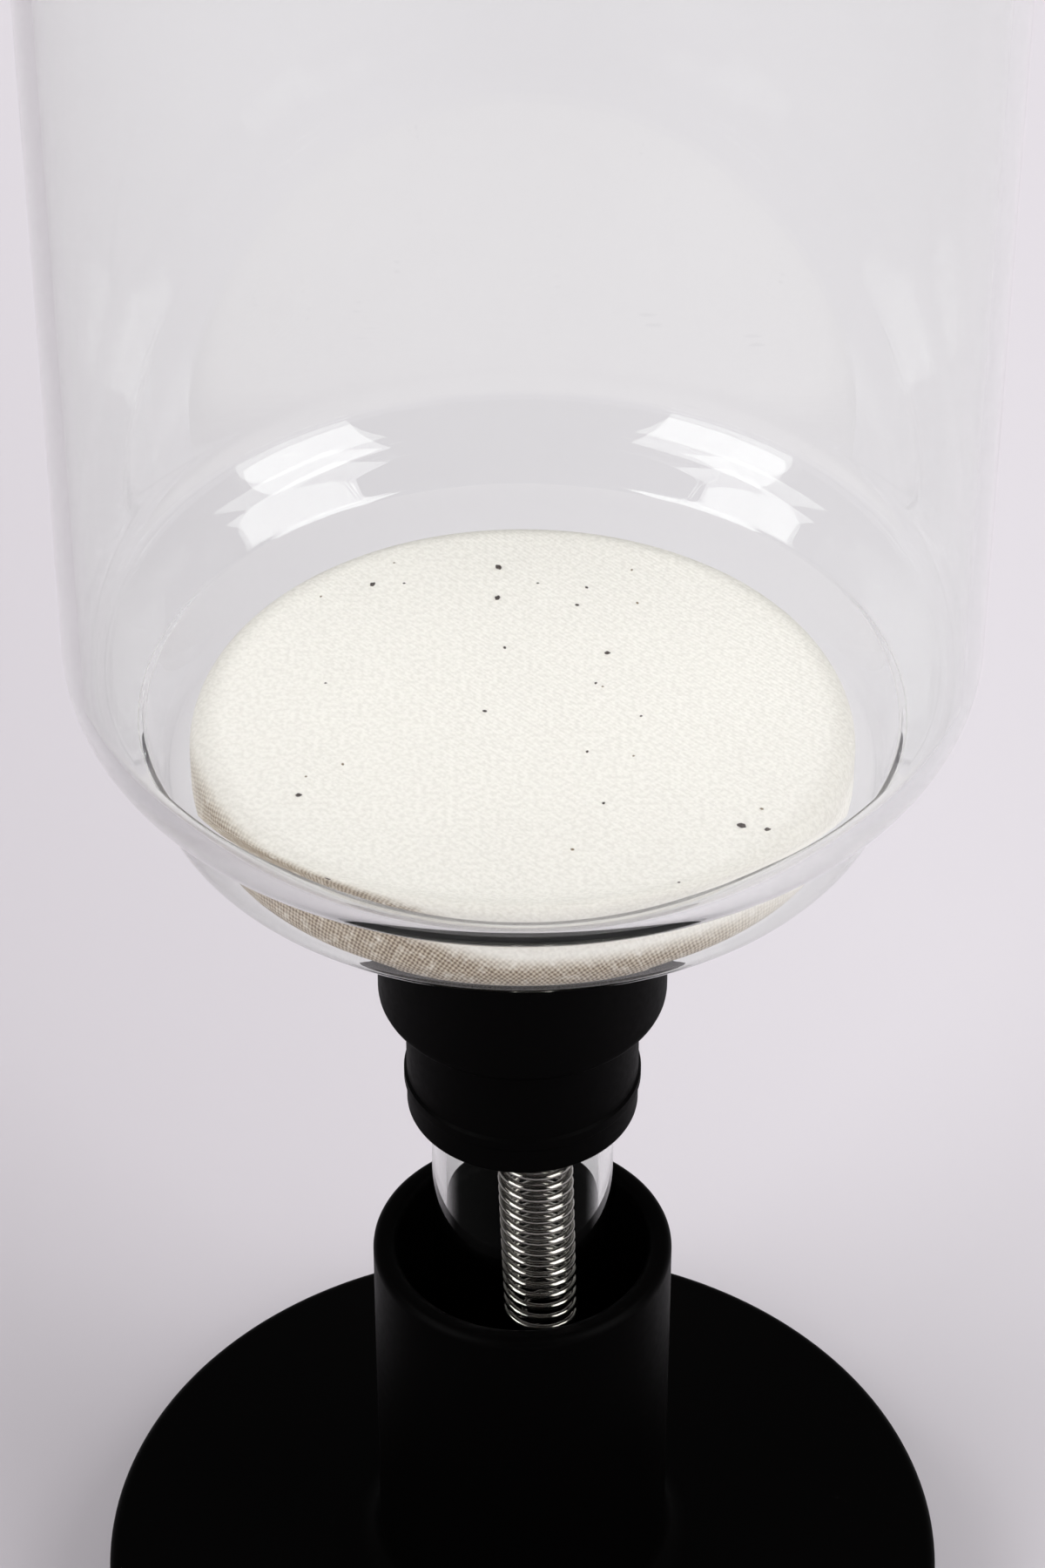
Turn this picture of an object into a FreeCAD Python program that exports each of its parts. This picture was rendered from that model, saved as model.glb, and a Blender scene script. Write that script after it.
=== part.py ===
import FreeCAD, Part
import math
import os
import Sketcher

# Siphon coffee maker: the brewing chamber standing in its own lid.
# A glass bowl with a long tube carries a cloth filter on its floor and a rubber gasket under it.
# A spring and a bead chain run down inside the tube and hook over the tube's lower rim.
# The black lid has an open socket on top, and the tube stands in that socket.
# Lengths are in millimetres, +Z is up, and the origin is the middle of the lid's underside.

doc = FreeCAD.newDocument("siphon_brewing_chamber")
sheet = doc.addObject("Spreadsheet::Sheet", "sizes")

DRIVING_SIZES = {
    # Glass bowl, outside radius and wall
    "bowl_radius": 40.0,
    "glass_wall": 1.6,
    "bowl_height": 100.1,
    "rim_round": 0.7,
    # Sloping shoulder between the wall and the filter cup
    "shoulder_rise": 13.25,
    "shoulder_slope": 40.0,
    "shoulder_width": 5.7,
    "shoulder_wall": 1.3,
    "shoulder_outer_round": 8.5,
    "shoulder_inner_round": 9.0,
    "crease_round": 0.5,
    "lip_round": 1.0,
    # Recessed cup that holds the filter, a little narrower at its floor
    "cup_taper": 2.0,
    "cup_wall": 1.1,
    "cup_floor": 1.0,
    "cup_outer_round": 5.0,
    "cup_inner_round": 2.5,
    # Tube fused to the cup
    "tube_radius": 8.65,
    "tube_wall": 1.3,
    "tube_length": 106.25,
    "tube_end_round": 0.5,
    "neck_outer_round": 5.0,
    "neck_inner_round": 4.5,
    # Rubber gasket on the tube
    "gasket_drop": 6.45,
    "plug_radius": 10.9,
    "plug_length": 13.4,
    "plug_ridge": 0.25,
    "plug_ridge_height": 3.0,
    "plug_ridge_width": 1.2,
    "flange_radius": 13.4,
    "flange_length": 15.5,
    "flange_round": 1.0,
    "gasket_cone": 3.5,
    "gasket_top_radius": 10.6,
    # Cloth-covered filter, loose in the cup and lying towards its front
    "filter_fit": 1.9,
    "filter_front_gap": 0.5,
    "filter_depth": 7.35,
    "filter_seat_gap": 0.05,
    "cloth_thickness": 1.1,
    "cloth_slack": 0.05,
    "cloth_edge_round": 2.1,
    "cloth_hem_round": 2.3,
    "hem_width": 8.3,
    "cord_radius": 0.65,
    "cord_gap": 0.05,
    "knot_radius": 1.3,
    "cord_tail": 8.0,
    # Perforated steel disc under the cloth
    "disc_plate": 0.8,
    "dimple_radius": 4.6,
    "dimple_depth": 1.2,
    "dimple_slope": 1.4,
    "hole_radius": 1.2,
    "first_hole_ring": 9.0,
    "hole_margin": 4.25,
    # Eyelet that joins the disc and the spring
    "stem_radius": 1.5,
    "stem_fit": 0.1,
    "stem_head_radius": 3.4,
    "stem_head": 0.9,
    "washer_radius": 3.8,
    "washer_thickness": 0.8,
    "eye_drop": 9.9,
    "eye_radius": 1.9,
    "eye_wire": 0.55,
    # Tension spring
    "coil_radius": 3.15,
    "coil_wire": 0.35,
    "coil_turns": 39,
    "loop_radius": 1.9,
    "link_gap": 0.3,
    # Bead chain
    "chain_side_gap": 1.9,
    "coupling_eye_radius": 1.5,
    "coupling_eye_wire": 0.4,
    "coupling_neck_radius": 0.9,
    "coupling_mouth_radius": 1.7,
    "coupling_length": 3.4,
    "bead_radius": 1.5,
    "bead_flat_angle": 71.0,
    "bead_pitch": 3.9,
    "bead_count": 5,
    "link_radius": 0.4,
    # Wire hook over the tube's lower rim
    "hook_azimuth": -60.0,
    "hook_wire": 0.55,
    "hook_ring_wire": 0.62,
    "hook_gap": 0.15,
    "hook_bend": 1.2,
    "hook_leg": 6.0,
    "hook_rise": 6.2,
    # Lid that serves as the stand
    "lid_fit": 0.6,
    "skirt_wall": 1.8,
    "lid_edge_height": 10.4,
    "lid_plate": 2.2,
    "lid_rise": 1.8,
    "lid_edge_round": 1.1,
    "locating_ring_wall": 1.6,
    "locating_ring_depth": 3.0,
    "socket_radius": 14.5,
    "socket_wall": 2.3,
    "socket_height": 52.8,
    "socket_rim_round": 0.9,
    "socket_foot_round": 2.5,
    "socket_floor": 2.2,
    "socket_floor_round": 1.0,
    "floor_gap": 0.3,
    "rib_width": 1.6,
    "rib_depth": 3.0,
    "rib_count": 6,
}

DERIVED_SIZES = {
    "bowl_bore": "=bowl_radius - glass_wall",
    "crease_radius": "=bowl_radius - shoulder_width",
    "lip_radius": "=crease_radius - cup_wall",
    "cup_foot_radius": "=crease_radius - cup_taper",
    "cup_foot_bore": "=cup_foot_radius - cup_wall",
    "tube_bore": "=tube_radius - tube_wall",
    "tube_end": "=socket_floor + floor_gap + 2 * hook_wire + hook_gap",
    "shoulder_tan": "=tan(shoulder_slope * 1 deg)",
    "shoulder_corner": "=tube_length + shoulder_rise",
    "crease_height": "=shoulder_corner - shoulder_width * shoulder_tan",
    "shoulder_bore_corner": "=shoulder_corner - glass_wall * shoulder_tan"
    " + shoulder_wall / cos(shoulder_slope * 1 deg)",
    "lip_height": "=shoulder_bore_corner - (bowl_bore - lip_radius) * shoulder_tan",
    "gasket_length": "=plug_length + flange_length + gasket_cone",
    "gasket_lift": "=tube_length - gasket_drop - gasket_length",
    "filter_radius": "=cup_foot_bore - filter_fit",
    "filter_shift": "=filter_fit - filter_front_gap",
    "hem_radius": "=filter_radius - hem_width",
    "filter_base": "=tube_end + tube_length + cup_floor + filter_seat_gap",
    "disc_radius": "=filter_radius - cloth_thickness - cloth_slack",
    "disc_top": "=filter_depth - cloth_thickness - cloth_slack",
    "disc_foot": "=cloth_thickness + cloth_slack",
    "disc_edge_round": "=cloth_edge_round - cloth_thickness - cloth_slack",
    "last_hole_ring": "=disc_radius - hole_margin",
    "stem_seat": "=disc_top - dimple_depth",
    "eye_height": "=filter_base + stem_seat - eye_drop",
    # Stations down the chain line; the spring is stretched until the hook reaches the tube's rim
    "loop_drop": "=eye_radius - eye_wire - coil_wire - link_gap + loop_radius",
    "loop_to_eye": "=loop_radius - coil_wire - link_gap - coupling_eye_wire + coupling_eye_radius",
    "eye_to_hook": "=2 * coupling_eye_radius - coupling_eye_wire - link_gap - hook_ring_wire",
    "coupling_drop": "=coupling_eye_radius + coupling_length",
    "bead_half": "=bead_radius * sin(bead_flat_angle * 1 deg)",
    "bead_run": "=(bead_count - 1) * bead_pitch + 2 * bead_half",
    "chain_below_coil": "=loop_radius + loop_to_eye + 2 * coupling_drop + bead_run"
    " + eye_to_hook + coupling_eye_radius",
    "chain_fall": "=eye_height - tube_end - hook_rise",
    "chain_foot": "=tube_bore - chain_side_gap",
    "chain_run_x": "=chain_foot * cos(hook_azimuth * 1 deg)",
    "chain_run_y": "=chain_foot * sin(hook_azimuth * 1 deg) + filter_shift",
    "chain_aside": "=sqrt(chain_run_x ^ 2 + chain_run_y ^ 2)",
    "chain_tilt": "=atan(chain_aside / chain_fall) / 1 deg",
    "chain_reach": "=sqrt(chain_fall ^ 2 + chain_aside ^ 2)",
    "coil_pitch": "=(chain_reach - loop_drop - loop_radius - chain_below_coil) / (coil_turns + 2)",
    "skirt_bore": "=bowl_radius + lid_fit",
    "lid_radius": "=skirt_bore + skirt_wall",
    "lid_underside": "=lid_edge_height - lid_plate",
    "locating_ring_radius": "=bowl_bore - lid_fit",
    "locating_ring_bore": "=locating_ring_radius - locating_ring_wall",
    "socket_bore": "=socket_radius - socket_wall",
}

for row, (alias, value) in enumerate({**DRIVING_SIZES, **DERIVED_SIZES}.items(), start=1):
    sheet.set(f"A{row}", alias.replace("_", " "))
    sheet.set(f"B{row}", str(value))
    sheet.setAlias(f"B{row}", alias)
doc.recompute()


def size(expression):
    """Number that an expression over the sheet's names stands for."""
    value = sheet.evalExpression(expression)
    return float(getattr(value, "Value", value))


def bound(expression):
    """The same expression as other objects read it, with the sheet's name before each alias."""
    words = []
    for word in expression.replace("(", "( ").replace(")", " )").split():
        words.append(f"sizes.{word}" if word in DRIVING_SIZES or word in DERIVED_SIZES else word)
    return " ".join(words)


def new_body(label, height="0"):
    body = doc.addObject("PartDesign::Body", label)
    body.Label = label
    body.setExpression(".Placement.Base.z", bound(height))
    return body


def origin_feature(body, role):
    return next(item for item in body.Origin.OriginFeatures if item.Role == role)


def new_sketch(body, name, plane):
    sketch = body.newObject("Sketcher::SketchObject", name)
    sketch.AttachmentSupport = (origin_feature(body, plane), [""])
    sketch.MapMode = "FlatFace"
    return sketch


def pin_coordinate(sketch, line, direction, expression):
    """Tie one coordinate of a line's first point to the sheet, or to the axis where it is zero."""
    if expression == "0":
        axis = -2 if direction == "DistanceX" else -1
        sketch.addConstraint(Sketcher.Constraint("PointOnObject", line, 1, axis))
        return
    index = sketch.addConstraint(
        Sketcher.Constraint(direction, -1, 1, line, 1, size(expression))
    )
    sketch.setExpression(f"Constraints[{index}]", bound(expression))


def draw_outline(sketch, corners):
    """Closed outline through corners, each given as two expressions."""
    points = [FreeCAD.Vector(size(across), size(upward), 0) for across, upward in corners]
    count = len(points)
    for here in range(count):
        sketch.addGeometry(Part.LineSegment(points[here], points[(here + 1) % count]), False)
    for here in range(count):
        following = (here + 1) % count
        sketch.addConstraint(Sketcher.Constraint("Coincident", here, 2, following, 1))
    for here, (across, upward) in enumerate(corners):
        pin_coordinate(sketch, here, "DistanceX", across)
        pin_coordinate(sketch, here, "DistanceY", upward)


def turned(body, corners, rounds=()):
    """Revolve an outline of (radius, height) corners, then round the corners named in rounds."""
    sketch = new_sketch(body, f"{body.Label}_outline", "XZ_Plane")
    draw_outline(sketch, corners)
    feature = body.newObject("PartDesign::Revolution", f"{body.Label}_turned")
    feature.Profile = sketch
    feature.ReferenceAxis = (sketch, ["V_Axis"])
    feature.Angle = 360
    sketch.Visibility = False
    doc.recompute()
    for radius, places in rounds:
        feature = rounded(body, feature, radius, [corners[place] for place in places])
    return feature


def rounded(body, feature, radius, corners):
    """Fillet the ring edges that lie at the given (radius, height) corners."""
    names = []
    for across, upward in corners:
        for number, edge in enumerate(feature.Shape.Edges, start=1):
            if edge.Curve.TypeId != "Part::GeomCircle":
                continue
            same_ring = abs(edge.Curve.Radius - size(across)) < 1e-4
            if same_ring and abs(edge.Curve.Center.z - size(upward)) < 1e-4:
                names.append(f"Edge{number}")
    fillet = body.newObject("PartDesign::Fillet", f"{body.Label}_round")
    fillet.Base = (feature, names)
    fillet.setExpression("Radius", bound(radius))
    doc.recompute()
    return fillet


def ring_pattern(body, feature, count):
    """Repeat a feature round the body's upright axis."""
    pattern = body.newObject("PartDesign::PolarPattern", f"{feature.Name}_ring")
    pattern.Originals = [feature]
    pattern.Axis = (origin_feature(body, "Z_Axis"), [""])
    pattern.Angle = 360
    pattern.setExpression("Occurrences", bound(count))
    body.Tip = pattern
    doc.recompute()
    return pattern


def primitive(kind, name, **expressions):
    """Part primitive whose named properties are bound to the sheet."""
    item = doc.addObject(f"Part::{kind}", name)
    for prop, expression in expressions.items():
        item.setExpression(prop, bound(expression))
    return item


def joined(kind, label, items, placement=FreeCAD.Placement()):
    """One document object made of several primitives: a fused solid or a group of alike pieces."""
    doc.recompute()
    whole = doc.addObject(f"Part::{kind}", label)
    setattr(whole, "Links" if kind == "Compound" else "Shapes", items)
    whole.Label = label
    whole.Placement = placement
    doc.recompute()
    return whole


subparts = []

# Lid: plate and skirt that cover the bowl, and the open socket that holds the tube
lid_stand = new_body("lid_stand")
lid_corners = [
    ("0", "0"),
    ("socket_radius", "0"),
    ("socket_radius", "lid_underside"),
    ("locating_ring_bore", "lid_underside"),
    ("locating_ring_bore", "lid_underside - locating_ring_depth"),
    ("locating_ring_radius", "lid_underside - locating_ring_depth"),
    ("locating_ring_radius", "lid_underside"),
    ("skirt_bore", "lid_underside"),
    ("skirt_bore", "0"),
    ("lid_radius", "0"),
    ("lid_radius", "lid_edge_height"),
    ("socket_radius", "lid_edge_height + lid_rise"),
    ("socket_radius", "socket_height"),
    ("socket_bore", "socket_height"),
    ("socket_bore", "socket_floor"),
    ("0", "socket_floor"),
]
turned(
    lid_stand,
    lid_corners,
    [
        ("socket_rim_round", [12, 13]),
        ("socket_foot_round", [11]),
        ("lid_edge_round", [10]),
        ("socket_floor_round", [14]),
    ],
)
rib_sketch = new_sketch(lid_stand, "rib_outline", "XZ_Plane")
draw_outline(
    rib_sketch,
    [
        ("socket_radius - socket_wall / 2", "lid_underside - rib_depth"),
        ("locating_ring_bore + locating_ring_wall / 2", "lid_underside - rib_depth"),
        ("locating_ring_bore + locating_ring_wall / 2", "lid_underside + lid_plate / 4"),
        ("socket_radius - socket_wall / 2", "lid_underside + lid_plate / 4"),
    ],
)
rib = lid_stand.newObject("PartDesign::Pad", "rib")
rib.Profile = rib_sketch
rib.setExpression("Length", bound("rib_width"))
rib.Midplane = True
doc.recompute()
ring_pattern(lid_stand, rib, "rib_count")
subparts.append(lid_stand)

# Glass chamber: bowl, sloping shoulder, filter cup and tube in one piece
brew_chamber = new_body("brew_chamber", "tube_end")
chamber_corners = [
    ("tube_radius", "0"),
    ("tube_radius", "tube_length"),
    ("cup_foot_radius", "tube_length"),
    ("crease_radius", "crease_height"),
    ("bowl_radius", "shoulder_corner"),
    ("bowl_radius", "tube_length + bowl_height"),
    ("bowl_bore", "tube_length + bowl_height"),
    ("bowl_bore", "shoulder_bore_corner"),
    ("lip_radius", "lip_height"),
    ("cup_foot_bore", "tube_length + cup_floor"),
    ("tube_bore", "tube_length + cup_floor"),
    ("tube_bore", "0"),
]
turned(
    brew_chamber,
    chamber_corners,
    [
        ("shoulder_outer_round", [4]),
        ("shoulder_inner_round", [7]),
        ("lip_round", [8]),
        ("cup_outer_round", [2]),
        ("crease_round", [3]),
        ("cup_inner_round", [9]),
        ("neck_outer_round", [1]),
        ("neck_inner_round", [10]),
        ("rim_round", [5, 6]),
        ("tube_end_round", [0, 11]),
    ],
)
subparts.append(brew_chamber)

# Rubber gasket: tapered plug for the flask's neck, with a thick flange above it
gasket = new_body("gasket", "tube_end + gasket_lift")
gasket_corners = [
    ("tube_radius", "0"),
    ("plug_radius", "0"),
    ("plug_radius", "plug_ridge_height"),
    ("plug_radius + plug_ridge", "plug_ridge_height + plug_ridge"),
    ("plug_radius + plug_ridge", "plug_ridge_height + plug_ridge_width"),
    ("plug_radius", "plug_ridge_height + plug_ridge_width + plug_ridge"),
    ("plug_radius", "plug_length"),
    ("flange_radius", "plug_length"),
    ("flange_radius", "plug_length + flange_length"),
    ("gasket_top_radius", "gasket_length"),
    ("tube_radius", "gasket_length"),
]
turned(gasket, gasket_corners, [("flange_round", [7, 8]), ("flange_round / 2", [1])])
subparts.append(gasket)


def lay_forward(piece):
    """Move a piece of the filter from the cup's axis to where the loose filter lies."""
    piece.setExpression(".Placement.Base.y", bound("0 - filter_shift"))


# Filter disc: pressed steel plate with a turned-down edge and rings of holes
filter_disc = new_body("filter_disc", "filter_base")
disc_corners = [
    ("stem_radius + stem_fit", "stem_seat"),
    ("dimple_radius", "stem_seat"),
    ("dimple_radius + dimple_slope", "disc_top"),
    ("disc_radius", "disc_top"),
    ("disc_radius", "disc_foot"),
    ("disc_radius - disc_plate", "disc_foot"),
    ("disc_radius - disc_plate", "disc_top - disc_plate"),
    ("dimple_radius + dimple_slope", "disc_top - disc_plate"),
    ("dimple_radius", "stem_seat - disc_plate"),
    ("stem_radius + stem_fit", "stem_seat - disc_plate"),
]
turned(filter_disc, disc_corners, [("disc_edge_round", [3])])
HOLES_IN_RING = (10, 16, 22, 28)
for ring, holes in enumerate(HOLES_IN_RING):
    hole_sketch = new_sketch(filter_disc, f"hole_{ring}", "XY_Plane")
    share = ring / (len(HOLES_IN_RING) - 1)
    centre = f"first_hole_ring + {share:.6f} * (last_hole_ring - first_hole_ring)"
    hole_sketch.addGeometry(
        Part.Circle(FreeCAD.Vector(size(centre), 0, 0), FreeCAD.Vector(0, 0, 1), size("hole_radius"))
    )
    hole_sketch.addConstraint(Sketcher.Constraint("PointOnObject", 0, 3, -1))
    place = hole_sketch.addConstraint(Sketcher.Constraint("DistanceX", -1, 1, 0, 3, size(centre)))
    hole_sketch.setExpression(f"Constraints[{place}]", bound(centre))
    across = hole_sketch.addConstraint(Sketcher.Constraint("Radius", 0, size("hole_radius")))
    hole_sketch.setExpression(f"Constraints[{across}]", bound("hole_radius"))
    solid_volume = filter_disc.Shape.Volume
    hole = filter_disc.newObject("PartDesign::Pocket", f"hole_ring_{ring}")
    hole.Profile = hole_sketch
    hole.Type = "ThroughAll"
    hole.Reversed = True
    doc.recompute()
    if filter_disc.Shape.Volume > solid_volume - 0.1:
        raise RuntimeError("a hole in the filter disc cuts nothing")
    pattern = filter_disc.newObject("PartDesign::PolarPattern", f"hole_pattern_{ring}")
    pattern.Originals = [hole]
    pattern.Axis = (origin_feature(filter_disc, "Z_Axis"), [""])
    pattern.Angle = 360
    pattern.Occurrences = holes
    filter_disc.Tip = pattern
    doc.recompute()
lay_forward(filter_disc)
subparts.append(filter_disc)

# Flannel cloth: stretched over the disc, round its edge and turned in underneath
filter_cloth = new_body("filter_cloth", "filter_base")
cloth_corners = [
    ("0", "filter_depth"),
    ("filter_radius", "filter_depth"),
    ("filter_radius", "0"),
    ("hem_radius", "0"),
    ("hem_radius", "cloth_thickness"),
    ("filter_radius - cloth_thickness", "cloth_thickness"),
    ("filter_radius - cloth_thickness", "filter_depth - cloth_thickness"),
    ("0", "filter_depth - cloth_thickness"),
]
turned(
    filter_cloth,
    cloth_corners,
    [
        ("cloth_edge_round", [1]),
        ("cloth_edge_round - cloth_thickness", [6]),
        ("cloth_hem_round", [2]),
    ],
)
lay_forward(filter_cloth)
subparts.append(filter_cloth)

# Drawstring: ring of cord inside the hem, tied in a knot with two tails
cord_ring = primitive(
    "Torus", "cord_ring", Radius1="hem_radius - cord_radius - cord_gap", Radius2="cord_radius"
)
cord_knot = primitive("Sphere", "cord_knot", Radius="knot_radius")
knot_across = size("hem_radius - cord_gap - cord_radius - knot_radius")
knot_place = FreeCAD.Vector(knot_across, 0, size("knot_radius - cord_radius"))
cord_knot.Placement.Base = knot_place
cord_pieces = [cord_ring, cord_knot]
for turn in (-28, 28):
    tail = primitive("Cylinder", "cord_tail_piece", Radius="cord_radius", Height="cord_tail")
    lying_inward = FreeCAD.Rotation(FreeCAD.Vector(0, 0, 1), FreeCAD.Vector(-1, 0, 0))
    spread = FreeCAD.Rotation(FreeCAD.Vector(0, 0, 1), turn)
    tail.Placement = FreeCAD.Placement(knot_place, spread * lying_inward)
    cord_pieces.append(tail)
cloth_drawstring = joined("MultiFuse", "cloth_drawstring", cord_pieces)
cloth_drawstring.setExpression(".Placement.Base.z", bound("filter_base + cord_radius + cord_gap"))
lay_forward(cloth_drawstring)
subparts.append(cloth_drawstring)

# Eyelet: flat head in the disc's dimple, stem through the disc and a ring below for the spring
stem_head = primitive("Cylinder", "stem_head_piece", Radius="stem_head_radius", Height="stem_head")
stem_shank = primitive(
    "Cylinder", "stem_shank", Radius="stem_radius", Height="eye_drop - eye_radius"
)
stem_shank.Placement.Base.z = -size("eye_drop - eye_radius")
stem_eye = primitive("Torus", "stem_eye", Radius1="eye_radius", Radius2="eye_wire")
chain_heading = math.degrees(math.atan2(size("chain_run_y"), size("chain_run_x")))
heading = FreeCAD.Rotation(FreeCAD.Vector(0, 0, 1), chain_heading)
upright_ring = FreeCAD.Rotation(FreeCAD.Vector(1, 0, 0), 90)
stem_eye.Placement = FreeCAD.Placement(
    FreeCAD.Vector(0, 0, -size("eye_drop")), heading * upright_ring
)
filter_eyelet = joined("MultiFuse", "filter_eyelet", [stem_head, stem_shank, stem_eye])
filter_eyelet.setExpression(".Placement.Base.z", bound("filter_base + stem_seat"))
lay_forward(filter_eyelet)
subparts.append(filter_eyelet)

# Washer under the disc, round the eyelet's stem
eyelet_washer = new_body("eyelet_washer", "filter_base + stem_seat - disc_plate - washer_thickness")
turned(
    eyelet_washer,
    [
        ("stem_radius + stem_fit", "0"),
        ("washer_radius", "0"),
        ("washer_radius", "washer_thickness"),
        ("stem_radius + stem_fit", "washer_thickness"),
    ],
)
lay_forward(eyelet_washer)
subparts.append(eyelet_washer)

# Chain line: from the eyelet's ring, leaning towards the place where the hook grips the tube
chain_start = FreeCAD.Vector(0, -size("filter_shift"), size("eye_height"))
chain_lean = heading * FreeCAD.Rotation(FreeCAD.Vector(0, 1, 0), -size("chain_tilt"))


def on_chain(distance):
    """Placement at a distance down the chain line, with local Z up the line."""
    along = chain_lean.multVec(FreeCAD.Vector(0, 0, -distance))
    return FreeCAD.Placement(chain_start + along, chain_lean)


# Tension spring: close coils with a loop at each end, wound from one length of wire
loop_drop = size("loop_drop")
coil_top = size("loop_drop + loop_radius + coil_pitch")
coil_length = size("coil_turns * coil_pitch")
STEPS_PER_TURN = 12


def spring_path():
    """Points along the wire, from the upper loop's free end to the lower loop's free end."""
    step = 2 * math.pi / STEPS_PER_TURN
    loop = size("loop_radius")
    coil = size("coil_radius")
    pitch = size("coil_pitch")
    half = []
    for tick in range(STEPS_PER_TURN - 1):
        turn = (tick + 1.5) * step - math.pi
        half.append(FreeCAD.Vector(0, loop * math.sin(turn), loop * math.cos(turn) - loop_drop))
    lead_ticks = STEPS_PER_TURN // 2
    for tick in range(lead_ticks):
        share = (tick + 0.5) / lead_ticks
        turn = share * math.pi - math.pi / 2
        reach = coil * math.sin(share * math.pi / 2)
        sink = loop_drop + loop + pitch * share
        half.append(FreeCAD.Vector(reach * math.cos(turn), reach * math.sin(turn), -sink))
    half_ticks = round(size("coil_turns")) * STEPS_PER_TURN // 2
    for tick in range(half_ticks + 1):
        turn = math.pi / 2 + tick * step
        sink = coil_top + pitch * tick / STEPS_PER_TURN
        half.append(FreeCAD.Vector(coil * math.cos(turn), coil * math.sin(turn), -sink))
    # The lower half is the upper half turned over about the wire's middle point.
    middle = FreeCAD.Vector(0, 0, half[-1].z)
    turned_over = FreeCAD.Rotation(half[-1] - middle, 180)
    lower = [middle + turned_over.multVec(point - middle) for point in half[:-1]]
    return half + lower[::-1]


path_points = spring_path()
path = Part.makePolygon(path_points)
wire_section = []
start_direction = (path_points[1] - path_points[0]).normalize()
facing = FreeCAD.Rotation(FreeCAD.Vector(0, 0, 1), start_direction)
for corner in range(7):
    turn = corner * math.pi / 3
    offset = FreeCAD.Vector(math.cos(turn), math.sin(turn), 0) * size("coil_wire")
    wire_section.append(path_points[0] + facing.multVec(offset))
sweep = Part.BRepOffsetAPI.MakePipeShell(path)
sweep.setTransitionMode(1)
sweep.add(Part.makePolygon(wire_section))
sweep.build()
sweep.makeSolid()
tension_spring = doc.addObject("Part::Feature", "tension_spring")
tension_spring.Label = "tension_spring"
tension_spring.Shape = sweep.shape()
tension_spring.Placement = on_chain(0)
subparts.append(tension_spring)

# Bead chain below the spring, with a crimped coupling at each end
lower_loop = coil_top + coil_length + size("coil_pitch + loop_radius")
upper_eye = lower_loop + size("loop_to_eye")
upper_mouth = upper_eye + size("coupling_drop")
bead_half = size("bead_half")
first_bead = upper_mouth + bead_half
bead_pitch = size("bead_pitch")
bead_count = round(size("bead_count"))
lower_mouth = upper_mouth + size("bead_run")
lower_eye = lower_mouth + size("coupling_drop")


def coupling(label, eye_distance, upside):
    """Ring with a small bell that is crimped on the chain; upside is 1 with the ring on top."""
    ring = primitive(
        "Torus", f"{label}_ring", Radius1="coupling_eye_radius", Radius2="coupling_eye_wire"
    )
    ring.Placement.Rotation = upright_ring
    bell = primitive(
        "Cone",
        f"{label}_bell",
        Radius1="coupling_mouth_radius",
        Radius2="coupling_neck_radius",
        Height="coupling_length",
    )
    bell.Placement.Base.z = -size("coupling_drop")
    place = on_chain(eye_distance)
    if upside < 0:
        place.Rotation = place.Rotation * FreeCAD.Rotation(FreeCAD.Vector(1, 0, 0), 180)
    return joined("MultiFuse", label, [ring, bell], place)


subparts.append(coupling("chain_coupling_top", upper_eye, 1))
subparts.append(coupling("chain_coupling_bottom", lower_eye, -1))

beads = []
links = []
for number in range(bead_count):
    bead = primitive(
        "Sphere", "bead", Radius="bead_radius", Angle1="0 - bead_flat_angle", Angle2="bead_flat_angle"
    )
    distance = first_bead + number * bead_pitch
    bead.Placement = on_chain(distance)
    beads.append(bead)
    if number + 1 < bead_count:
        link = primitive("Cylinder", "link", Radius="link_radius")
        link.Height = bead_pitch - 2 * bead_half
        link.Placement = on_chain(distance + bead_pitch - bead_half)
        links.append(link)
subparts.append(joined("Compound", "chain_beads", beads))
subparts.append(joined("Compound", "chain_links", links))


def bent_wire(points, bend, radius):
    """Round wire along straight runs joined by bends of one radius."""
    edges = []
    start = points[0]
    for before, corner, after in zip(points, points[1:], points[2:]):
        arriving = (before - corner).normalize()
        leaving = (after - corner).normalize()
        half_angle = arriving.getAngle(leaving) / 2
        reach = bend / math.tan(half_angle)
        bisector = (arriving + leaving).normalize()
        nearest = corner + bisector * (bend / math.sin(half_angle) - bend)
        arc_start = corner + arriving * reach
        arc_end = corner + leaving * reach
        edges.append(Part.makeLine(start, arc_start))
        edges.append(Part.Arc(arc_start, nearest, arc_end).toShape())
        start = arc_end
    edges.append(Part.makeLine(start, points[-1]))
    run = Part.Wire(edges)
    ring = Part.Wire(Part.makeCircle(radius, points[0], points[1] - points[0]))
    return run.makePipeShell([ring], True, True)


# Hook: ring on the last coupling, then a wire that runs under the tube's rim and up outside it
hook_eye_distance = lower_eye + size("eye_to_hook")
hook_ring = primitive("Torus", "hook_ring", Radius1="coupling_eye_radius", Radius2="hook_ring_wire")
sideways_ring = FreeCAD.Rotation(FreeCAD.Vector(0, 1, 0), -90)
hook_ring_place = on_chain(hook_eye_distance)
hook_ring_place.Rotation = hook_ring_place.Rotation * sideways_ring
hook_ring.Placement = hook_ring_place
hook_side = FreeCAD.Rotation(FreeCAD.Vector(0, 0, 1), size("hook_azimuth"))
ring_foot = hook_side.inverted().multVec(
    on_chain(hook_eye_distance + size("coupling_eye_radius")).Base
)
inside = size("tube_bore - hook_gap - hook_wire")
outside = size("tube_radius + hook_gap + hook_wire")
under = size("tube_end - hook_gap - hook_wire")
hook_run = doc.addObject("Part::Feature", "hook_run")
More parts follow.
